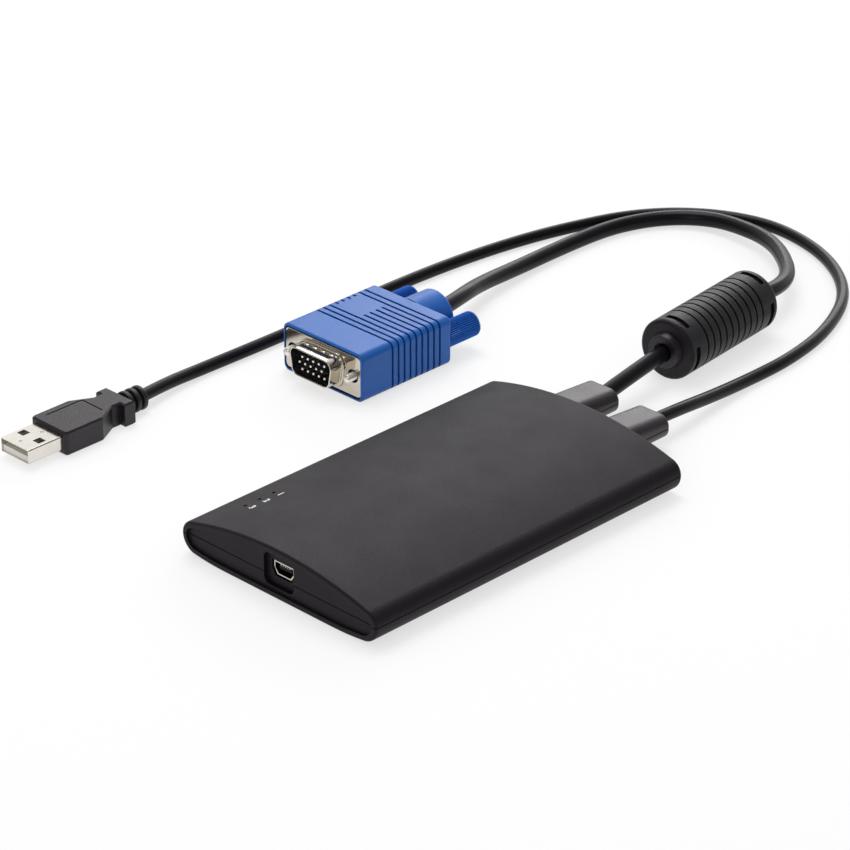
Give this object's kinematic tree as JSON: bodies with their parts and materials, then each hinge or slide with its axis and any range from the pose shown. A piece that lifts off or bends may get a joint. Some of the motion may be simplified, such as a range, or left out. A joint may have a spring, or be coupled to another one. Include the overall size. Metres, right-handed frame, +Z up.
{
  "type": "crash cart adapter",
  "caption": "Flat pocket adapter with a small front port and short leads at the back that end in a screw-on video plug, behind a ferrite sleeve, and a flat data plug.",
  "frame": {"origin": "middle of the case's underside, on the surface that it rests on", "axes": "+X across the case to the right as seen from the front port, +Y along the case from the front port to the leads, +Z up"},
  "size_m": [0.153, 0.2718, 0.0188],
  "materials": {
    "case": "fine matte texture, charcoal",
    "board": "green solder mask",
    "chip": "black epoxy",
    "steel": "zinc plated",
    "nickel": "bright nickel plate",
    "boot": "satin black",
    "cable": "satin black",
    "ferrite": "sintered, dark grey",
    "blue_plastic": "satin blue",
    "black_plastic": "black",
    "white_plastic": "cream white",
    "contact": "gold plate",
    "light_guide": "smoky clear"
  },
  "bodies": {
    "adapter": {"top_cover": "case", "bottom_cover": "case", "case_screws": "steel", "circuit_board": "board", "video_chip": "chip", "control_chip": "chip", "memory_chip": "chip", "clock_crystal": "steel", "video_header": "white_plastic", "data_header": "white_plastic", "video_wires": "cable", "data_wires": "cable", "indicator_lights": "light_guide", "port_shell": "nickel", "port_tongue": "black_plastic", "port_contacts": "contact", "video_boot": "boot", "data_boot": "boot", "video_cable": "cable", "data_cable": "cable", "ferrite_sleeve": "boot", "ferrite_core": "ferrite", "video_plug_grip": "blue_plastic", "video_plug_shell": "nickel", "video_plug_insulator": "black_plastic", "video_plug_pins": "contact", "data_plug_grip": "boot", "data_plug_shell": "nickel", "data_plug_tongue": "white_plastic", "data_plug_contacts": "contact"},
    "left_thumbscrew": {"left_screw": "steel", "left_knob": "blue_plastic"},
    "right_thumbscrew": {"right_screw": "steel", "right_knob": "blue_plastic"}
  },
  "joints": [
    {"name": "left_thumbscrew_turn", "type": "hinge", "parent": "adapter", "child": "left_thumbscrew", "pos_m": [-0.0937, 0.07235, 0.0077], "axis": [0, 1, 0], "continuous": true},
    {"name": "right_thumbscrew_turn", "type": "hinge", "parent": "adapter", "child": "right_thumbscrew", "pos_m": [-0.0687, 0.07235, 0.0077], "axis": [0, 1, 0], "continuous": true}
  ]
}
